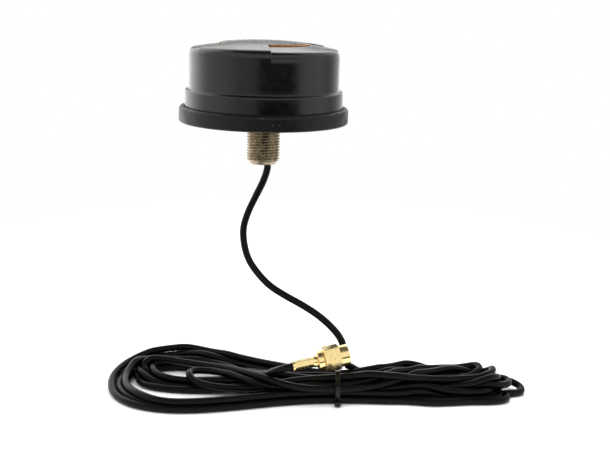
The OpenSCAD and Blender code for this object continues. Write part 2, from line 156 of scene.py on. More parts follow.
# Where a straight run may have a point, as x in mm, and how long the folds are for their width.
RUN_OUT = (40, 49, 58, 67)
RUN_BACK = (68, 59, 50, 41)
RUN_LEFT = (18, 9, 0, -9)
RUN_HOME = (-9, 0, 9, 18)
RUN_MARGIN = 4
RIGHT_STRETCH = 1.1
LEFT_STRETCH = 1.0


def eased(a, b, t):
    return a + (b - a) * t * t * (3 - 2 * t)


def leg(x0, start, x1, end, stations):
    """Points between two places given as (y, z), at those of the stations that lie well between."""
    low = min(x0, x1) + RUN_MARGIN
    high = max(x0, x1) - RUN_MARGIN
    inside = [x for x in stations if low < x < high]
    return [
        (x, eased(start[0], end[0], (x - x0) / (x1 - x0)), eased(start[1], end[1], (x - x0) / (x1 - x0)))
        for x in inside
    ]


def fold(tip, side, start, end, stretch):
    """Half an ellipse round an end of the hank, and the x where it starts; side is 1 right, -1 left."""
    reach = abs(start[0] - end[0]) / 2 * stretch
    points = []
    for k in range(7):
        a = math.radians(-90 + 30 * k)
        t = (math.sin(a) + 1) / 2
        y = start[0] + (end[0] - start[0]) * t
        points.append((tip - side * reach * (1 - math.cos(a)), y, eased(start[1], end[1], t)))
    return points, tip - side * reach


def hank_route():
    """The lead's last point, every turn in order, and the tail's route, in mm."""
    tie_x = TIE_X / MM
    points = [tuple(p / MM) for p in LEAD]
    x, place = points[-1][0], points[-1][1:]
    for right, front_slot, left, back_slot, via in TURNS:
        tip, front_y, front_z, back_y, back_z = right
        bend, bend_x = fold(tip, 1, (back_y, back_z), (front_y, front_z), RIGHT_STRETCH)
        points += leg(x, place, bend_x, (back_y, back_z), RUN_OUT)
        points += bend
        points += leg(bend_x, (front_y, front_z), tie_x, front_slot, RUN_BACK)
        points.append((tie_x,) + front_slot)
        tip, front_y, front_z, back_y, back_z = left
        bend, bend_x = fold(tip, -1, (front_y, front_z), (back_y, back_z), LEFT_STRETCH)
        points += leg(tie_x, front_slot, bend_x, (front_y, front_z), RUN_LEFT)
        points += bend
        if back_slot:
            points += via or leg(bend_x, (back_y, back_z), tie_x, back_slot, RUN_HOME)
            points.append((tie_x,) + back_slot)
            x, place = tie_x, back_slot
    points += APPROACH + [tuple(p / MM) for p in TAIL]
    return np.array(points)


def resample(line, step):
    """The same line with points a step apart."""
    along = np.r_[0, np.cumsum(np.linalg.norm(np.diff(line, axis=0), axis=1))]
    marks = np.linspace(0, along[-1], int(round(along[-1] / step)) + 1)
    return np.stack([np.interp(marks, along, line[:, k]) for k in range(3)], axis=1)


def smooth_line(points, step):
    """A centripetal Catmull-Rom curve through the points, sampled a step apart."""
    ends = np.vstack([2 * points[0] - points[1], points, 2 * points[-1] - points[-2]])
    pieces = []
    for i in range(1, len(ends) - 2):
        p0, p1, p2, p3 = ends[i - 1:i + 3]
        t0 = 0
        t1 = t0 + np.linalg.norm(p1 - p0) ** 0.5
        t2 = t1 + np.linalg.norm(p2 - p1) ** 0.5
        t3 = t2 + np.linalg.norm(p3 - p2) ** 0.5
        t = np.linspace(t1, t2, 24, endpoint=False)[:, None]
        a1 = (t1 - t) / (t1 - t0) * p0 + (t - t0) / (t1 - t0) * p1
        a2 = (t2 - t) / (t2 - t1) * p1 + (t - t1) / (t2 - t1) * p2
        a3 = (t3 - t) / (t3 - t2) * p2 + (t - t2) / (t3 - t2) * p3
        b1 = (t2 - t) / (t2 - t0) * a1 + (t - t0) / (t2 - t0) * a2
        b2 = (t3 - t) / (t3 - t1) * a2 + (t - t1) / (t3 - t1) * a3
        pieces.append((t2 - t) / (t2 - t1) * b1 + (t - t1) / (t2 - t1) * b2)
    return resample(np.vstack(pieces + [points[-1:]]), step)


def near_pairs(line, reach, skip):
    """Every pair of points nearer than reach and more than skip places apart along the cable."""
    square = (line ** 2).sum(1)
    gap = square[:, None] + square[None, :] - 2 * line @ line.T
    return np.nonzero(np.triu(gap < reach * reach, skip))


def moved(count, index, push):
    """The mean push on each point, where a point may be in several pairs."""
    total = np.zeros((count, 3))
    times = np.zeros((count, 1))
    np.add.at(total, index, push)
    np.add.at(times, index, 1)
    return total / np.maximum(times, 1)


# How the cable settles, for each round.
SINK = 0.02
PULL_HOME = 0.02
BENDING = ((1, 0.3), (2, 0.15), (4, 0.1))
CONTACT = CABLE_D / MM * 1.003
PUSH_GAIN = 1.6
SPREAD_GAIN = 1.3
STRETCH_GAIN = 0.6


def settle(line, step, rounds, held_start, held_end):
    """Lays the cable down, in mm: weight, bending, strands pushed apart, and none below the floor."""
    count, home = len(line), line.copy()
    diameter = CABLE_D / MM
    lowest = FLOOR_Z / MM + diameter / 2
    free = np.ones((count, 1))
    free[:held_start] = 0
    free[count - held_end:] = 0
    share = np.maximum(free[:-1] + free[1:], 1e-9)
    for k in range(rounds):
        if k % 6 == 0:
            first, second = near_pairs(line, diameter + 1.6, int(4.5 / step))
        line[:, 2] -= SINK * free[:, 0]
        line += PULL_HOME * (home - line) * free
        for span, stiffness in BENDING:
            sag = (line[:-2 * span] + line[2 * span:]) / 2 - line[span:-span]
            bend = np.zeros_like(line)
            bend[span:-span] += sag * stiffness
            bend[:-2 * span] -= sag * stiffness / 2
            bend[2 * span:] -= sag * stiffness / 2
            line += bend * free
        for _ in range(2):
            apart = line[second] - line[first]
            gap = np.linalg.norm(apart, axis=1)
            hit = gap < CONTACT
            i, j = first[hit], second[hit]
            give = np.maximum(free[i] + free[j], 1e-9)
            push = apart[hit] * (CONTACT / gap[hit] - 1)[:, None] / give
            shove = moved(count, np.r_[i, j], np.vstack([-push * free[i], push * free[j]])) * PUSH_GAIN
            shove[1:-1] = (shove[:-2] + 2 * shove[1:-1] + shove[2:]) / 4 * SPREAD_GAIN
            line += shove * free
            line[:, 2] = np.maximum(line[:, 2], lowest)
            pull = line[1:] - line[:-1]
            pull *= STRETCH_GAIN * (1 - step / np.linalg.norm(pull, axis=1, keepdims=True)) / share
            line[:-1] += pull * free[:-1]
            line[1:] -= pull * free[1:]
    return line


def polyline_length(points):
    return float(np.linalg.norm(np.diff(points, axis=0), axis=1).sum())


STEP = 1.25
ROUNDS = 200
lead_points = int(polyline_length(LEAD[:-1]) / MM / STEP)
tail_points = int(polyline_length(TAIL[2:]) / MM / STEP)
line = settle(smooth_line(hank_route(), STEP), STEP, ROUNDS, lead_points, tail_points) * MM

spline_data = bpy.data.curves.new("coax_cable", "CURVE")
spline_data.dimensions = "3D"
spline = spline_data.splines.new("POLY")
spline.points.add(len(line) - 1)
spline.points.foreach_set("co", np.c_[line, np.ones(len(line))].ravel())
spline.use_smooth = True
spline.points.foreach_set("radius", np.full(len(line), CABLE_R))
spline_data.bevel_depth = 1.0
spline_data.bevel_resolution = 4
spline_data.use_fill_caps = True
cable = bpy.data.objects.new("coax_cable", spline_data)
bpy.context.scene.collection.objects.link(cable)
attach(cable, "root")
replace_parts(cable, "cable_lead", "cable_hank", "cable_tail")


# ---------------------------------------------------------------- mesh tools
def add_piece(name, verts, faces, body, slot_name, smooth_below=40):
    """A mesh of the object in the row frame, riding on a body."""
    mesh = bpy.data.meshes.new(name)
    mesh.from_pydata([tuple(v) for v in verts], [], faces)
    mesh.validate()
    shell = bmesh.new()
    shell.from_mesh(mesh)
    bmesh.ops.remove_doubles(shell, verts=shell.verts, dist=1e-7)
    bmesh.ops.recalc_face_normals(shell, faces=shell.faces)
    shell.to_mesh(mesh)
    shell.free()
    mesh.shade_smooth()
    mesh.set_sharp_from_angle(angle=math.radians(smooth_below))
    piece = bpy.data.objects.new(name, mesh)
    bpy.context.scene.collection.objects.link(piece)
    if body:
        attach(piece, body)
    return piece


def arc(x, z, r, start, end, steps):
    """Points (x, z) of a round stretch, angles in degrees."""
    angles = [math.radians(start + (end - start) * k / steps) for k in range(steps + 1)]
    return [(x + r * math.cos(a), z + r * math.sin(a)) for a in angles]


def rounded(outline, edge, steps=3):
    """A closed outline of (r, z) with every corner cut back by at most edge and rounded."""
    points = [np.array(p, float) for p in outline]
    result = []
    for i, p in enumerate(points):
        before, after = points[i - 1], points[(i + 1) % len(points)]
        a, b = before - p, after - p
        cut = min(edge, np.linalg.norm(a) / 2.5, np.linalg.norm(b) / 2.5)
        start, end = p + a / np.linalg.norm(a) * cut, p + b / np.linalg.norm(b) * cut
        for k in range(steps + 1):
            t = k / steps
            result.append(tuple((1 - t) ** 2 * start + 2 * t * (1 - t) * p + t * t * end))
    return result


def grid_faces(rows, columns):
    """Quads over a grid that is closed both ways."""
    return [
        (i * columns + j, i * columns + (j + 1) % columns,
         (i + 1) % rows * columns + (j + 1) % columns, (i + 1) % rows * columns + j)
        for i in range(rows) for j in range(columns)
    ]


def turned(outline, columns, radius=None, angles=None):
    """Vertices and faces of a closed outline of (r, z), in mm, turned about Z.

    radius(r, z, a) gives the distance from the axis where the outline's own isn't kept.
    """
    angles = np.linspace(0, 2 * math.pi, columns, endpoint=False) if angles is None else angles
    verts = []
    for r, z in outline:
        for a in angles:
            reach = radius(r, z, a) if radius else r
            verts.append(Vector((reach * math.cos(a), reach * math.sin(a), z)) * MM)
    return verts, grid_faces(len(outline), len(angles))


def joined(*shells):
    """Several (vertices, faces) as one."""
    verts, faces = [], []
    for shell_verts, shell_faces in shells:
        base = len(verts)
        verts += list(shell_verts)
        faces += [tuple(base + i for i in f) for f in shell_faces]
    return verts, faces


def placed(shell, matrix):
    return [matrix @ Vector(v) for v in shell[0]], shell[1]


def smoothstep(low, high, value):
    t = min(max((value - low) / (high - low), 0), 1)
    return t * t * (3 - 2 * t)


def hexagon(across_flats, fillet, a):
    """Distance from the middle of a hexagon with rounded corners to its edge, in direction a."""
    apothem = across_flats / 2
    off_flat = (a + math.pi / 6) % (math.pi / 3) - math.pi / 6
    meets = math.atan((apothem - fillet) * math.tan(math.pi / 6) / apothem)
    if abs(off_flat) <= meets:
        return apothem / math.cos(off_flat)
    centre = (apothem - fillet) / math.cos(math.pi / 6)
    off_corner = math.pi / 6 - abs(off_flat)
    return centre * math.cos(off_corner) + math.sqrt(fillet ** 2 - (centre * math.sin(off_corner)) ** 2)


# ---------------------------------------------------------------- radome
DOME_R = 26.5
SKIRT_R = 28
SKIRT_TOP = 11.4
RIM_Z = 2
CROWN_R = 140
CROWN_Z = 28.6 - CROWN_R
SHOULDER_R = 2.8
HUB_R = 15
POCKET_DEPTH = 0.5
POCKET_EDGE = 0.12
POCKET_ARC_R = 2
POCKET_FOOT = 23.8
POCKET_SPAN = 116
POCKET_STARTS = (277, 97)
WALL = 2.2
LEDGE_R = 0.8
STEP_R = 0.6
INNER_ARC_R = 4
INNER_R = SKIRT_R - WALL - 1.5
AXIS_R = 0.01

# Screw bosses under the top, with a rib each.
BOSS_AT = 20.8
BOSS_BORE = 1.1
BOSS_R = 2.4
BOSS_LOW = 5.1
BOSS_HIGH = 20
RIB_HALF = 0.8


def arc_height(edge_r, arc_r, big_r):
    return CROWN_Z + math.sqrt((big_r - arc_r) ** 2 - (edge_r - arc_r) ** 2)


def dome_curve(edge_r, arc_r, big_r, to_r, low, steps=12):
    """Side from the height low, shoulder and crown of a dome, in to a radius."""
    lean = math.degrees(math.acos((edge_r - arc_r) / (big_r - arc_r)))
    top = arc_height(edge_r, arc_r, big_r)
    side = [(edge_r, low + (top - low) * k / 6) for k in range(6)]
    shoulder = arc(edge_r - arc_r, top, arc_r, 0, lean, steps)
    crown = arc(0, CROWN_Z, big_r, lean, math.degrees(math.acos(to_r / big_r)), 10)[1:]
    return side + shoulder + crown


def pocket_share(r, a):
    """0 on a raised lobe, 1 in a pocket, with a soft step about 0.4 mm wide between them."""
    share = 0
    for start in POCKET_STARTS:
        off = (math.degrees(a) - start) % 360
        off = off - 360 if off > 180 + POCKET_SPAN / 2 else off
        inside = min(off, POCKET_SPAN - off)
        share = max(share, smoothstep(-0.1, 0.3, math.radians(inside) * max(r, 1)))
    return share


def bosses():
    """The four screw bosses inside the radome, each with its rib."""
    outline = [(BOSS_BORE, BOSS_LOW), (BOSS_R, BOSS_LOW), (BOSS_R, BOSS_HIGH), (BOSS_BORE, BOSS_HIGH)]
    tube = turned(rounded(outline, 0.2), 40)
    corners = ((2.2, -RIB_HALF), (4, -RIB_HALF), (4, RIB_HALF), (2.2, RIB_HALF))
    rib = [Vector((x, y, z)) * MM for z in (BOSS_LOW + 2, BOSS_HIGH - 0.1) for x, y in corners]
    rib_faces = [(0, 3, 2, 1), (4, 5, 6, 7)]
    rib_faces += [(i, (i + 1) % 4, (i + 1) % 4 + 4, i + 4) for i in range(4)]
    shells = []
    for k in range(4):
        at = Matrix.Rotation(math.radians(45 + 90 * k), 4, "Z") @ Matrix.Translation((BOSS_AT * MM, 0, 0))
        shells += [placed(tube, at), placed((rib, rib_faces), at)]
    return shells


def radome():
    """Skirt, ledge, side, shoulder and crown, with two shallow pockets, closed by the inner wall."""
    skirt = (
        [(SKIRT_R - 0.2, RIM_Z), (SKIRT_R, RIM_Z + 0.2)]
        + [(SKIRT_R, 2.2 + 8.2 * k / 6) for k in range(1, 6)]
        + arc(SKIRT_R - LEDGE_R, SKIRT_TOP - LEDGE_R, LEDGE_R, 0, 90, 7)
        + arc(DOME_R + STEP_R, SKIRT_TOP + STEP_R, STEP_R, 270, 180, 6)
        + [(DOME_R, 12 + (POCKET_FOOT - 12.2) * k / 7) for k in range(1, 8)]
    )
    inner_crown_r = CROWN_R - WALL - POCKET_DEPTH
    foot = POCKET_FOOT + 0.02
    hub_edge = HUB_R + 0.22
    lobe = dome_curve(DOME_R, SHOULDER_R, CROWN_R, hub_edge, foot)
    pocket = dome_curve(DOME_R - POCKET_EDGE, POCKET_ARC_R, CROWN_R - POCKET_DEPTH, hub_edge, foot)
    hub_steps = [HUB_R + d for d in (0.16, 0.08, -0.02, -0.2, -0.6, -1.6)] + [12, 9, 6, 3, AXIS_R]
    hub = [(r, CROWN_Z + math.sqrt(CROWN_R ** 2 - r ** 2)) for r in hub_steps]
    hub_drop = [POCKET_DEPTH * share for share in (0.93, 0.55, 0.1, 0.02)]
    inner = [(AXIS_R, CROWN_Z + inner_crown_r)]
    inner += dome_curve(DOME_R - WALL, INNER_ARC_R, inner_crown_r, 2, SKIRT_TOP - 2)[::-1]
    inner += [(INNER_R, SKIRT_TOP - 2), (INNER_R, RIM_Z + 0.1), (INNER_R + 0.1, RIM_Z)]
    fine = [k * 0.12 for k in range(-9, 14)]
    angles = set(round(k * 1.25, 3) for k in range(288))
    for start in POCKET_STARTS:
        for edge, sign in ((start, 1), (start + POCKET_SPAN, -1)):
            angles = {a for a in angles if abs((a - edge + 180) % 360 - 180) > 2}
            angles |= {round((edge + sign * f * 1.3) % 360, 3) for f in fine}
    angles = np.radians(sorted(angles))
    verts = []

    def add_row(shape):
        for a in angles:
            r, z = shape(a)
            verts.append(Vector((r * math.cos(a), r * math.sin(a), z)) * MM)

    for r, z in skirt:
        add_row(lambda a: (r, z))
    for high, low in zip(lobe, pocket):
        def between(a):
            t = pocket_share(high[0], a)
            return high[0] + (low[0] - high[0]) * t, high[1] + (low[1] - high[1]) * t
        add_row(between)
    for k, (r, z) in enumerate(hub):
        drop = hub_drop[k] if k < len(hub_drop) else 0
        add_row(lambda a: (r, z - drop * pocket_share(r, a)))
    for r, z in inner:
        add_row(lambda a: (r, z))
    shell = verts, grid_faces(len(verts) // len(angles), len(angles))
    piece = add_piece("radome_shell", *joined(shell, *bosses()), "root", "radome_plastic", 55)
    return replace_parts(piece, "radome")


# ---------------------------------------------------------------- rubber base ring
def base_ring():
    outline = (
        [(17.4, 0), (18, 0), (22, 0), (26, 0)] + arc(29.3, 0.7, 0.7, 270, 360, 6)
        + [(30, 0.7 + 3.5 * k / 5) for k in range(1, 5)] + arc(28.7, 4.2, 1.3, 0, 84, 9)
        + [(28.45, 5.48), (28.25, 5.4), (28.06, 5.1), (28.02, 4.7), (28.02, 2)]
        + [(17.2, 2), (17, 1.8), (17, 0.4)]
    )
    piece = add_piece("base_ring", *turned(outline, 240), "root", "base_rubber")
    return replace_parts(piece, "base_gasket")


# ---------------------------------------------------------------- threaded stud
STUD_R = 6
STUD_ROOT = 5.39
STUD_PITCH = 1
STUD_END = -15
STUD_ROWS = 0.0625


def stud():
    """Shoulder, one right-hand thread, rounded end and a bore, and the seat for its nut inside."""
    inner_bore = [(4.1, STUD_END), (3.5, STUD_END + 0.6)] + [(3.5, z) for z in (-10, -5, 0, 5, 8.8)]
    top = [(3.7, 9), (4.6, 9), (5.1, 8.5), (5.1, 5), (5.1, 2)]
    collar = [(7.3, 2), (7.4, 1.9), (7.4, 0.3), (6.5, -0.48), (6.1, -0.8), (5.6, -0.88)]
    thread = [(STUD_R, z) for z in np.arange(-0.95, -14.66, -STUD_ROWS)]
    end = arc(4.7, -14.7, 0.3, 0, -90, 3)

    def ridge(r, z, a):
        if r != STUD_R:
            return r
        place = ((z - a / (2 * math.pi) * STUD_PITCH) / STUD_PITCH) % 1
        height = min(max(abs(place - 0.5) * 2 * 1.25 - 0.1, 0), 1)
        fade = smoothstep(-0.95, -1.5, z)
        limit = 6 - 1.0 * smoothstep(-13.2, -14.75, z) - 0.02
        return min(STUD_ROOT + (STUD_R - STUD_ROOT) * height * fade, limit)

    outline = [tuple(p) for p in inner_bore + top + collar + thread + end]
    piece = add_piece("threaded_stud", *turned(outline[::-1], 200, ridge), "root", "nickel_brass", 60)
    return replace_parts(piece, "stud")


# ---------------------------------------------------------------- plug
NUT_FLATS = 8
NUT_PITCH = 0.7
NUT_BORE = 3.2
NUT_CREST = 2.9
FERRULE_R = 1.85
FERRULE_BORE = 1.305
FERRULE_BACK = -13.8
FERRULE_FRONT = -5.05


def coupling_nut():
    """Hexagon with chamfered ends, round nose, and a right-hand thread inside."""
    half, nose_r, front = 2.8, 3.75, 6
    back = [(3.02, -half + 0.1), (3.12, -half), (3.75, -half)]
    turns = np.linspace(0, math.pi / 2, 7)
    rise = [(NUT_FLATS / 2 + 0.62 * math.sin(t), -half + 0.42 * (1 - math.cos(t))) for t in turns]
    rise[0] = (rise[0][0] - 0.08, rise[0][1])
    hexed = rise + [(4.65, z) for z in (-2, -1, 0, 1, 2)] + [(r, -z) for r, z in rise[::-1]]
    nose = [(nose_r + 0.1, half), (nose_r, half + 0.1), (nose_r, 3.6), (nose_r, 4.6)]
    nose += arc(nose_r - 0.3, front - 0.3, 0.3, 0, 90, 5)
    mouth = [(3.3, front), (NUT_BORE, front - 0.12)]
    thread = [(NUT_BORE, z) for z in np.arange(5.7, 0.7, -0.1)]
    relief = [
        (3.25, 0.6), (3.25, -0.38), (3.12, -0.4), (3.02, -0.5),
        (3.02, -1.1), (3.3, -1.22), (3.3, -1.98), (3.02, -2.1),
    ]
    hex_rows = set((round(r, 6), round(z, 6)) for r, z in hexed)

    def shape(r, z, a):
        if (round(r, 6), round(z, 6)) in hex_rows:
            return min(hexagon(NUT_FLATS, 0.22, a), r)
        if r == NUT_BORE and z < 5.75:
            place = ((z - a / (2 * math.pi) * NUT_PITCH) / NUT_PITCH) % 1
            return NUT_CREST + (NUT_BORE - NUT_CREST) * (1 - abs(place - 0.5) * 2)
        return r

    outline = back + hexed + nose + mouth + thread + relief
    shell = placed(turned(outline, 288, shape), PLUG_FRAME @ NUT_ROLL)
    piece = add_piece("coupling_nut_gold", *shell, "coupling_nut", "gold_plate", 32)
    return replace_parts(piece, "plug_nut")


def plug_body():
    """Stem, collar, neck with the snap ring's groove, and the barrel that enters the jack."""
    outline = [
        (0.5, -12.4), (1.15, -12.4), (1.15, -5), (3.35, -5), (3.35, -2.9), (2.95, -2.9), (2.95, -1.9),
        (2.65, -1.9), (2.65, -1.3), (2.95, -1.3), (2.95, -0.8), (2.28, -0.8), (2.28, 3.2),
        (2.05, 3.2), (2.05, -3.5), (0.5, -3.5),
    ]
    shell = placed(turned(rounded(outline, 0.16), 160), PLUG_FRAME)
    piece = add_piece("plug_body_gold", *shell, "root", "gold_plate")
    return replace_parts(piece, "plug_body")


def plug_ferrule():
    """Crimped tube: round at both ends and pressed to a hexagon between them."""
    corners = [(r, FERRULE_BACK) for r in (FERRULE_BORE, FERRULE_R)]
    corners += [(r, FERRULE_FRONT) for r in (FERRULE_R, FERRULE_BORE)]
    outline = rounded(corners, 0.15)
    heights = (-13.5, -13.1, -12.9, -12.75, -12.6, -11, -9, -7.4, -7.1, -6.8, -6.5, -6.3, -5.4)
    outside = [(FERRULE_R, z) for z in heights]
    start = [p for p in outline if p[1] < -12 and p[0] < 1.4]
    mouth = [p for p in outline if p[1] < -12 and p[0] >= 1.4]
    far = [p for p in outline if p[1] > -12]

    def shape(r, z, a):
        if r < 1.7:
            return r
        crimp = smoothstep(-13.15, -12.75, z) * smoothstep(-6.3, -6.9, z)
        pressed = hexagon(3.24, 0.35, a)
        flare = r + 0.13 * smoothstep(-6.7, -6.3, z)
        return flare + (pressed - flare) * crimp

    shell = placed(turned(start + mouth + outside + far, 144, shape), PLUG_FRAME @ NUT_ROLL)
    piece = add_piece("crimp_ferrule", *shell, "root", "gold_plate")
    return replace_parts(piece, "plug_ferrule")


# ---------------------------------------------------------------- cable tie
TIE_WIDTH = 1.6
TIE_THICK = 0.85
TIE_ABOVE_FLOOR = 0.02
HEAD_HALF = 1.1
HEAD_MIDDLE = 0.9
HEAD_ROWS = ((0, 0.2), (-0.2, 0), (-1.1, 0), (-1.4, 0.12), (-1.6, 0.4))


def cable_tie(strands):
    """A strap drawn tight round the strands that cross its plane, with its head in front."""
    centres = strands[:, 1:] / MM
    half, thick, edge = TIE_WIDTH / 2, TIE_THICK, 0.22
    inside = 0.02
    section = rounded([(-half, inside), (half, inside), (half, thick), (-half, thick)], edge)
    verts = []
    steps = 120
    for k in range(steps):
        out = np.array([math.cos(2 * math.pi * k / steps), math.sin(2 * math.pi * k / steps)])
        corner = centres[np.argmax(centres @ out)]
        for across, high in section:
            y, z = corner + out * (CABLE_R / MM + high)
            z = max(z, FLOOR_Z / MM + TIE_ABOVE_FLOOR)
            verts.append(Vector((TIE_X / MM + across, y, z)) * MM)
    strap = verts, grid_faces(steps, len(section))
    front = centres[:, 0].min() - CABLE_R / MM - thick + 0.15
    low = FLOOR_Z / MM + 0.2
    top = 2 * HEAD_MIDDLE
    block = rounded([(-HEAD_HALF, 0), (HEAD_HALF, 0), (HEAD_HALF, top), (-HEAD_HALF, top)], 0.5)
    head = []
    for depth, inset in HEAD_ROWS:
        for x, z in block:
            x = x * (1 - inset / HEAD_HALF)
            z = HEAD_MIDDLE + (z - HEAD_MIDDLE) * (1 - inset / HEAD_MIDDLE)
            head.append(Vector((TIE_X / MM + x, front + depth, low + z)) * MM)
    count = len(block)
    sides = grid_faces(len(HEAD_ROWS), count)[:-count]
    ends = [tuple(range(count))[::-1], tuple(range(len(head) - count, len(head)))]
    piece = add_piece("cable_tie_strap", *joined(strap, (head, sides + ends)), "root", "tie_nylon")
    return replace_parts(piece, "cable_tie")


# ---------------------------------------------------------------- material tools
def new_material(name, colour, roughness, metallic=0.0, ior=1.5):
    material = bpy.data.materials.new(name)
    material.use_nodes = True
    shader = material.node_tree.nodes["Principled BSDF"]
    shader.inputs["Base Color"].default_value = (*colour, 1)
    shader.inputs["Roughness"].default_value = roughness
    shader.inputs["Metallic"].default_value = metallic
    shader.inputs["IOR"].default_value = ior
    return material, material.node_tree, shader


def object_place(tree):
    return tree.nodes.new("ShaderNodeTexCoord").outputs["Object"]


def noise(tree, size, detail=2.0, stretch=(1, 1, 1)):
    """Noise with features of about size metres, stretched along the axes."""
    mapping = tree.nodes.new("ShaderNodeMapping")
    mapping.inputs["Scale"].default_value = [1 / s for s in stretch]
    tree.links.new(object_place(tree), mapping.inputs["Vector"])
    node = tree.nodes.new("ShaderNodeTexNoise")
    node.inputs["Scale"].default_value = 1 / size
    node.inputs["Detail"].default_value = detail
    tree.links.new(mapping.outputs["Vector"], node.inputs["Vector"])
    return node.outputs["Fac"]


def remapped(tree, value, start, end, low=0.0, high=1.0):
    node = tree.nodes.new("ShaderNodeMapRange")
    node.interpolation_type = "SMOOTHSTEP"
    node.inputs["From Min"].default_value = start
    node.inputs["From Max"].default_value = end
    node.inputs["To Min"].default_value = low
    node.inputs["To Max"].default_value = high
    tree.links.new(value, node.inputs["Value"])
    return node.outputs["Result"]


def specks(tree, spacing, size):
    """1 in small round specks at random places about spacing metres apart, 0 elsewhere."""
    node = tree.nodes.new("ShaderNodeTexVoronoi")
    node.inputs["Scale"].default_value = 1 / spacing
    tree.links.new(object_place(tree), node.inputs["Vector"])
    return remapped(tree, node.outputs["Distance"], size / spacing, 0.6 * size / spacing)


def mixed(tree, factor, first, second):
    """A colour between two: each is a colour or an output."""
    node = tree.nodes.new("ShaderNodeMix")
    node.data_type = "RGBA"
    tree.links.new(factor, node.inputs["Factor"])
    for index, colour in ((6, first), (7, second)):
        if isinstance(colour, tuple):
            node.inputs[index].default_value = (*colour, 1)
        else:
            tree.links.new(colour, node.inputs[index])
    return node.outputs[2]


def bumped(tree, shader, height, depth):
    """Raises the surface by the height output, in metres at full height."""
    node = tree.nodes.new("ShaderNodeBump")
    node.inputs["Distance"].default_value = depth
    tree.links.new(height, node.inputs["Height"])
    tree.links.new(node.outputs["Normal"], shader.inputs["Normal"])


def plain(
    name, colour, dark, roughness, grain, depth,
    metallic=0.0, spread=0.06, dust=None, specular=0.5,
):
    """A moulded, cast or plated surface: two tones in fine mottling, uneven gloss and grain.

    grain is the size of the finest bumps and depth their height; dust is (spacing, size, colour).
    """
    material, tree, shader = new_material(name, colour, roughness, metallic)
    shader.inputs["Specular IOR Level"].default_value = specular
    tone = remapped(tree, noise(tree, grain * 6, 3.0), 0.35, 0.65)
    base = mixed(tree, tone, dark, colour)
    if dust:
        spacing, size, pale = dust
        base = mixed(tree, specks(tree, spacing, size), base, pale)
    tree.links.new(base, shader.inputs["Base Color"])
    gloss = remapped(tree, noise(tree, grain * 9, 2.0), 0.3, 0.7, roughness - spread, roughness + spread)
    tree.links.new(gloss, shader.inputs["Roughness"])
    bumped(tree, shader, noise(tree, grain, 2.0), depth)
    return material


def radome_plastic():
    return plain(
        "radome_plastic", (0.003, 0.0031, 0.0024), (0.0016, 0.0017, 0.0013), 0.25, 0.0003, 0.000012,
        spread=0.03, dust=(0.0045, 0.00016, (0.09, 0.09, 0.085)),
    )


def base_rubber():
    return plain(
        "base_rubber", (0.0055, 0.0058, 0.0045), (0.003, 0.0032, 0.0025), 0.44, 0.00032, 0.00002,
        spread=0.05, dust=(0.0028, 0.00022, (0.12, 0.125, 0.12)), specular=0.26,
    )


def nickel_brass():
    """Turned and plated: fine rings of the lathe, and brown specks where the plating is thin."""
    material, tree, shader = new_material("nickel_brass", (0.4, 0.33, 0.24), 0.26, 1.0)
    tone = remapped(tree, noise(tree, 0.0016, 4.0), 0.3, 0.7)
    base = mixed(tree, tone, (0.27, 0.22, 0.145), (0.46, 0.39, 0.29))
    base = mixed(tree, specks(tree, 0.0016, 0.00034), base, (0.2, 0.11, 0.03))
    tree.links.new(base, shader.inputs["Base Color"])
    rings = noise(tree, 0.00025, 1.0, stretch=(9, 9, 1))
    tree.links.new(remapped(tree, rings, 0.3, 0.7, 0.16, 0.3), shader.inputs["Roughness"])
    bumped(tree, shader, rings, 0.000003)
    return material


def gold_plate():
    """Bright plating over turned brass: two close tones, uneven gloss and a few small stains."""
    material, tree, shader = new_material("gold_plate", (0.95, 0.76, 0.38), 0.24, 1.0)
    tone = remapped(tree, noise(tree, 0.0011, 4.0), 0.32, 0.68)
    base = mixed(tree, tone, (0.93, 0.71, 0.31), (0.97, 0.77, 0.38))
    base = mixed(tree, specks(tree, 0.0019, 0.00016), base, (0.45, 0.28, 0.08))
    tree.links.new(base, shader.inputs["Base Color"])
    gloss = remapped(tree, noise(tree, 0.0007, 3.0), 0.3, 0.7, 0.13, 0.24)
    tree.links.new(gloss, shader.inputs["Roughness"])
    bumped(tree, shader, noise(tree, 0.0003, 2.0), 0.0000015)
    return material


def cable_jacket():
    return plain(
        "cable_jacket", (0.0018, 0.0019, 0.0014), (0.001, 0.0011, 0.0008), 0.33, 0.00028, 0.000012,
        spread=0.04, dust=(0.006, 0.0002, (0.07, 0.072, 0.068)), specular=0.13,
    )


def tie_nylon():
    return plain(
        "tie_nylon", (0.0035, 0.0035, 0.003), (0.0022, 0.0022, 0.002), 0.33, 0.0004, 0.000015,
        specular=0.3,
    )


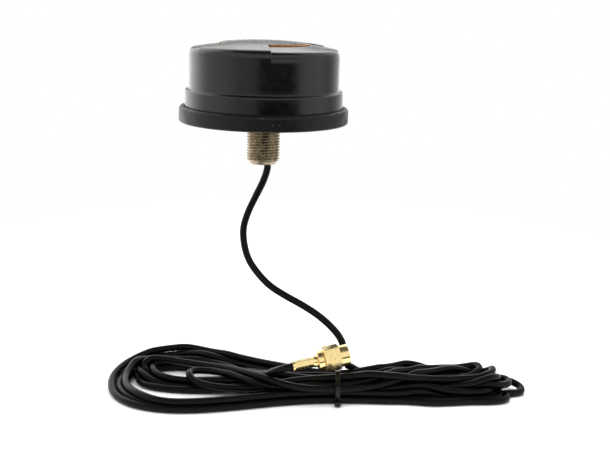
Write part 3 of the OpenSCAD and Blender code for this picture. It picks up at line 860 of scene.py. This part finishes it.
MATERIALS = {
    "radome_plastic": radome_plastic(),
    "accent_print": plain("accent_print", (0.72, 0.27, 0.03), (0.6, 0.2, 0.02), 0.42, 0.0003, 0.00001),
    "base_rubber": base_rubber(),
    "seal_rubber": plain("seal_rubber", (0.014, 0.014, 0.014), (0.009, 0.009, 0.009), 0.5, 0.0003, 0.00002),
    "cast_alloy": plain("cast_alloy", (0.56, 0.57, 0.58), (0.46, 0.47, 0.48), 0.48, 0.0005, 0.00004, 1.0),
    "steel_screw": plain(
        "steel_screw", (0.62, 0.62, 0.6), (0.5, 0.5, 0.48), 0.3, 0.0003, 0.00001, 1.0,
    ),
    "nickel_brass": nickel_brass(),
    "board_green": plain("board_green", (0.02, 0.13, 0.05), (0.012, 0.09, 0.035), 0.3, 0.0005, 0.00001),
    "can_tin": plain("can_tin", (0.74, 0.74, 0.72), (0.62, 0.62, 0.6), 0.27, 0.0007, 0.00001, 1.0),
    "chip_black": plain("chip_black", (0.02, 0.02, 0.02), (0.012, 0.012, 0.012), 0.45, 0.0001, 0.00001),
    "chip_ceramic": plain("chip_ceramic", (0.6, 0.5, 0.36), (0.48, 0.4, 0.28), 0.4, 0.0001, 0.00001),
    "tape_white": plain("tape_white", (0.8, 0.78, 0.7), (0.72, 0.7, 0.62), 0.6, 0.0003, 0.00001),
    "patch_ceramic_mat": plain(
        "patch_ceramic_mat", (0.78, 0.68, 0.55), (0.68, 0.58, 0.45), 0.42, 0.0002, 0.00002,
    ),
    "silver_print": plain(
        "silver_print", (0.85, 0.85, 0.84), (0.72, 0.72, 0.71), 0.36, 0.0002, 0.00001, 1.0,
    ),
    "foam_grey": plain("foam_grey", (0.13, 0.13, 0.14), (0.05, 0.05, 0.055), 0.9, 0.0006, 0.0003),
    "cable_jacket": cable_jacket(),
    "cable_dielectric": plain(
        "cable_dielectric", (0.86, 0.85, 0.8), (0.78, 0.77, 0.72), 0.45, 0.0003, 0.00001,
    ),
    "tie_nylon": tie_nylon(),
    "gold_plate": gold_plate(),
    "ptfe_white": plain("ptfe_white", (0.9, 0.9, 0.88), (0.82, 0.82, 0.8), 0.4, 0.0002, 0.00001),
    "gasket_red": plain("gasket_red", (0.45, 0.07, 0.035), (0.35, 0.05, 0.025), 0.5, 0.0003, 0.00001),
}


# ---------------------------------------------------------------- pieces
def dress(obj, slot_name):
    obj.data.materials.clear()
    obj.data.materials.append(MATERIALS[slot_name])


for subpart in frame["record"]["subparts"]:
    dress(frame["nodes"][subpart["node"]], subpart["material_slot"])

# The strands that the tie holds: the cable's points in its plane, low enough to be in the hank.
HANK_TOP = -81.5 * MM
crossing = (line[:-1, 0] - TIE_X) * (line[1:, 0] - TIE_X) <= 0
strands = line[:-1][crossing & (line[:-1, 2] < HANK_TOP)]

dress(cable, "cable_jacket")
dress(radome(), "radome_plastic")
dress(base_ring(), "base_rubber")
dress(stud(), "nickel_brass")
dress(coupling_nut(), "gold_plate")
body_piece = plug_body()
ferrule_piece = plug_ferrule()
tie_piece = cable_tie(strands)
dress(body_piece, "gold_plate")
dress(ferrule_piece, "gold_plate")
dress(tie_piece, "tie_nylon")


# ---------------------------------------------------------------- floor, world and lights
FLOOR_R = 210
floor_rows = [(r, 0) for r in (FLOOR_R, 150, 100, 50, 0.1)]
floor_rows += [(0.1, -2), (FLOOR_R - 1, -2), (FLOOR_R, -1)]
floor = add_piece("floor", *turned(floor_rows, 96), None, None)
floor.location = (0.02, 0.11, FLOOR_Z)
floor_material, floor_tree, floor_shader = new_material("pale_floor", (0.93, 0.93, 0.93), 0.7)
floor_tone = remapped(floor_tree, noise(floor_tree, 0.003, 3.0), 0.3, 0.7)
floor_colour = mixed(floor_tree, floor_tone, (0.92, 0.92, 0.92), (0.94, 0.94, 0.94))
floor_tree.links.new(floor_colour, floor_shader.inputs["Base Color"])
floor.data.materials.append(floor_material)


# Darker and brighter patches of the studio: left, right, bottom, top and softness in degrees, and strength.
PANELS = [
    (-7, 54, -85, 4, 4, 0.0),
    (-45, 0, -85, 8, 14, 0.55),
    (104, 132, -40, 12, 8, 0.5),
    (-200, 200, 58, 110, 8, 0.12),
    (-200, -108, -60, 55, 20, 2.2),
    (158, 200, -8, 55, 10, 2.4),
    (166, 200, 5, 16, 3, 0.05),
    (-200, -160, 5, 16, 3, 0.05),
]


def world_light():
    """A white backdrop, and round it a bright studio that is dark in front, to the right, and overhead."""
    world = bpy.data.worlds.new("studio")
    bpy.context.scene.world = world
    world.use_nodes = True
    tree = world.node_tree
    tree.nodes.clear()

    def maths(kind, first, second=None):
        node = tree.nodes.new("ShaderNodeMath")
        node.operation = kind
        for socket, value in zip(node.inputs, (first, second)):
            if value is None:
                continue
            if isinstance(value, (int, float)):
                socket.default_value = value
            else:
                tree.links.new(value, socket)
        return node.outputs[0]

    place = tree.nodes.new("ShaderNodeTexCoord").outputs["Generated"]
    apart = tree.nodes.new("ShaderNodeSeparateXYZ")
    tree.links.new(place, apart.inputs[0])
    x, y, z = apart.outputs
    azimuth = maths("ARCTAN2", x, maths("MULTIPLY", y, -1.0))
    height = maths("ARCSINE", z)

    def panel(left, right, bottom, top, soft):
        """1 inside a patch of sky given by degrees to the right of the front and above the horizon."""
        inside = None
        for value, low, high in ((azimuth, left, right), (height, bottom, top)):
            for edge, sign in ((low, 1), (high, -1)):
                start = math.radians(edge - sign * soft)
                end = math.radians(edge + sign * soft)
                if sign > 0:
                    share = remapped(tree, value, start, end)
                else:
                    share = remapped(tree, value, end, start, 1.0, 0.0)
                inside = share if inside is None else maths("MULTIPLY", inside, share)
        return inside

    strength = None
    for left, right, bottom, top, soft, keep in PANELS:
        patch = panel(left, right, bottom, top, soft)
        kept = maths("SUBTRACT", 1.0, maths("MULTIPLY", patch, 1.0 - keep))
        strength = kept if strength is None else maths("MULTIPLY", strength, kept)
    around = tree.nodes.new("ShaderNodeBackground")
    around.inputs["Color"].default_value = (1.0, 1.0, 1.0, 1)
    tree.links.new(strength, around.inputs["Strength"])
    backdrop = tree.nodes.new("ShaderNodeBackground")
    backdrop.inputs["Color"].default_value = (1.0, 1.0, 1.0, 1)
    backdrop.inputs["Strength"].default_value = 1.0
    seen = tree.nodes.new("ShaderNodeLightPath").outputs["Is Camera Ray"]
    mix = tree.nodes.new("ShaderNodeMixShader")
    tree.links.new(seen, mix.inputs[0])
    tree.links.new(around.outputs[0], mix.inputs[1])
    tree.links.new(backdrop.outputs[0], mix.inputs[2])
    out = tree.nodes.new("ShaderNodeOutputWorld")
    tree.links.new(mix.outputs[0], out.inputs["Surface"])


world_light()


def soft_light(name, at, towards, size, power):
    data = bpy.data.lights.new(name, "AREA")
    data.shape = "DISK"
    data.size = size
    data.energy = power
    light = bpy.data.objects.new(name, data)
    light.visible_glossy = False
    light.location = at
    light.rotation_euler = (Vector(towards) - Vector(at)).to_track_quat("-Z", "Y").to_euler()
    bpy.context.scene.collection.objects.link(light)


soft_light("key", (-0.35, -0.25, 0.55), (0.02, 0, -0.05), 0.35, 2.0)
soft_light("top", (0.1, 0.15, 0.7), (0.02, 0, -0.09), 0.5, 5.0)

bpy.context.scene.view_settings.view_transform = "Standard"
